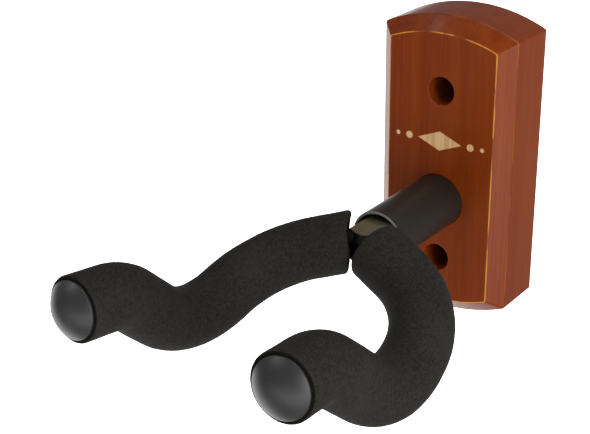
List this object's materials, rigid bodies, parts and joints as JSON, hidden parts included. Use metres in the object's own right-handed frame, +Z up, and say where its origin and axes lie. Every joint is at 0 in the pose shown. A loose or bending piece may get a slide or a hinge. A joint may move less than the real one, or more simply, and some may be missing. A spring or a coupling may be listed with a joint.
{
  "type": "wall guitar hanger",
  "caption": "Wall hanger for a guitar: a bevelled hardwood block, a black standoff tube and a swivelling yoke with foam-covered arms that cradle the neck.",
  "frame": {"origin": "on the wall plane, midway between the two wall screw holes", "axes": "+Z up the wall, -Y straight out of the wall into the room, +X to the right for someone facing the wall"},
  "size_m": [0.0964, 0.1714, 0.1085],
  "materials": {
    "stained_wood": "satin lacquer over a reddish-brown stain",
    "light_inlay": "flush light inlay",
    "black_steel": "satin black powder coat",
    "nylon": "natural nylon",
    "zinc_steel": "bright zinc plate",
    "nut_insert": "blue nylon",
    "black_foam": "matte closed-cell foam",
    "grey_vinyl": "smooth dark grey vinyl"
  },
  "bodies": {
    "block": {"wood_block": "stained_wood", "front_inlay": "light_inlay", "standoff_tube": "black_steel", "bearing_core": "nylon", "rear_bush": "nylon"},
    "yoke": {"yoke_hub": "black_steel", "pivot_stud": "zinc_steel", "thrust_washer": "nylon", "rear_washer": "zinc_steel", "lock_nut": "zinc_steel", "lock_nut_insert": "nut_insert", "left_arm_rod": "black_steel", "right_arm_rod": "black_steel", "left_foam_sleeve": "black_foam", "right_foam_sleeve": "black_foam", "left_end_cap": "grey_vinyl", "right_end_cap": "grey_vinyl"}
  },
  "joints": [
    {"name": "yoke_swivel", "type": "hinge", "parent": "block", "child": "yoke", "pos_m": [0, -0.0645, -0.009], "axis": [0, -1, 0], "continuous": true}
  ]
}
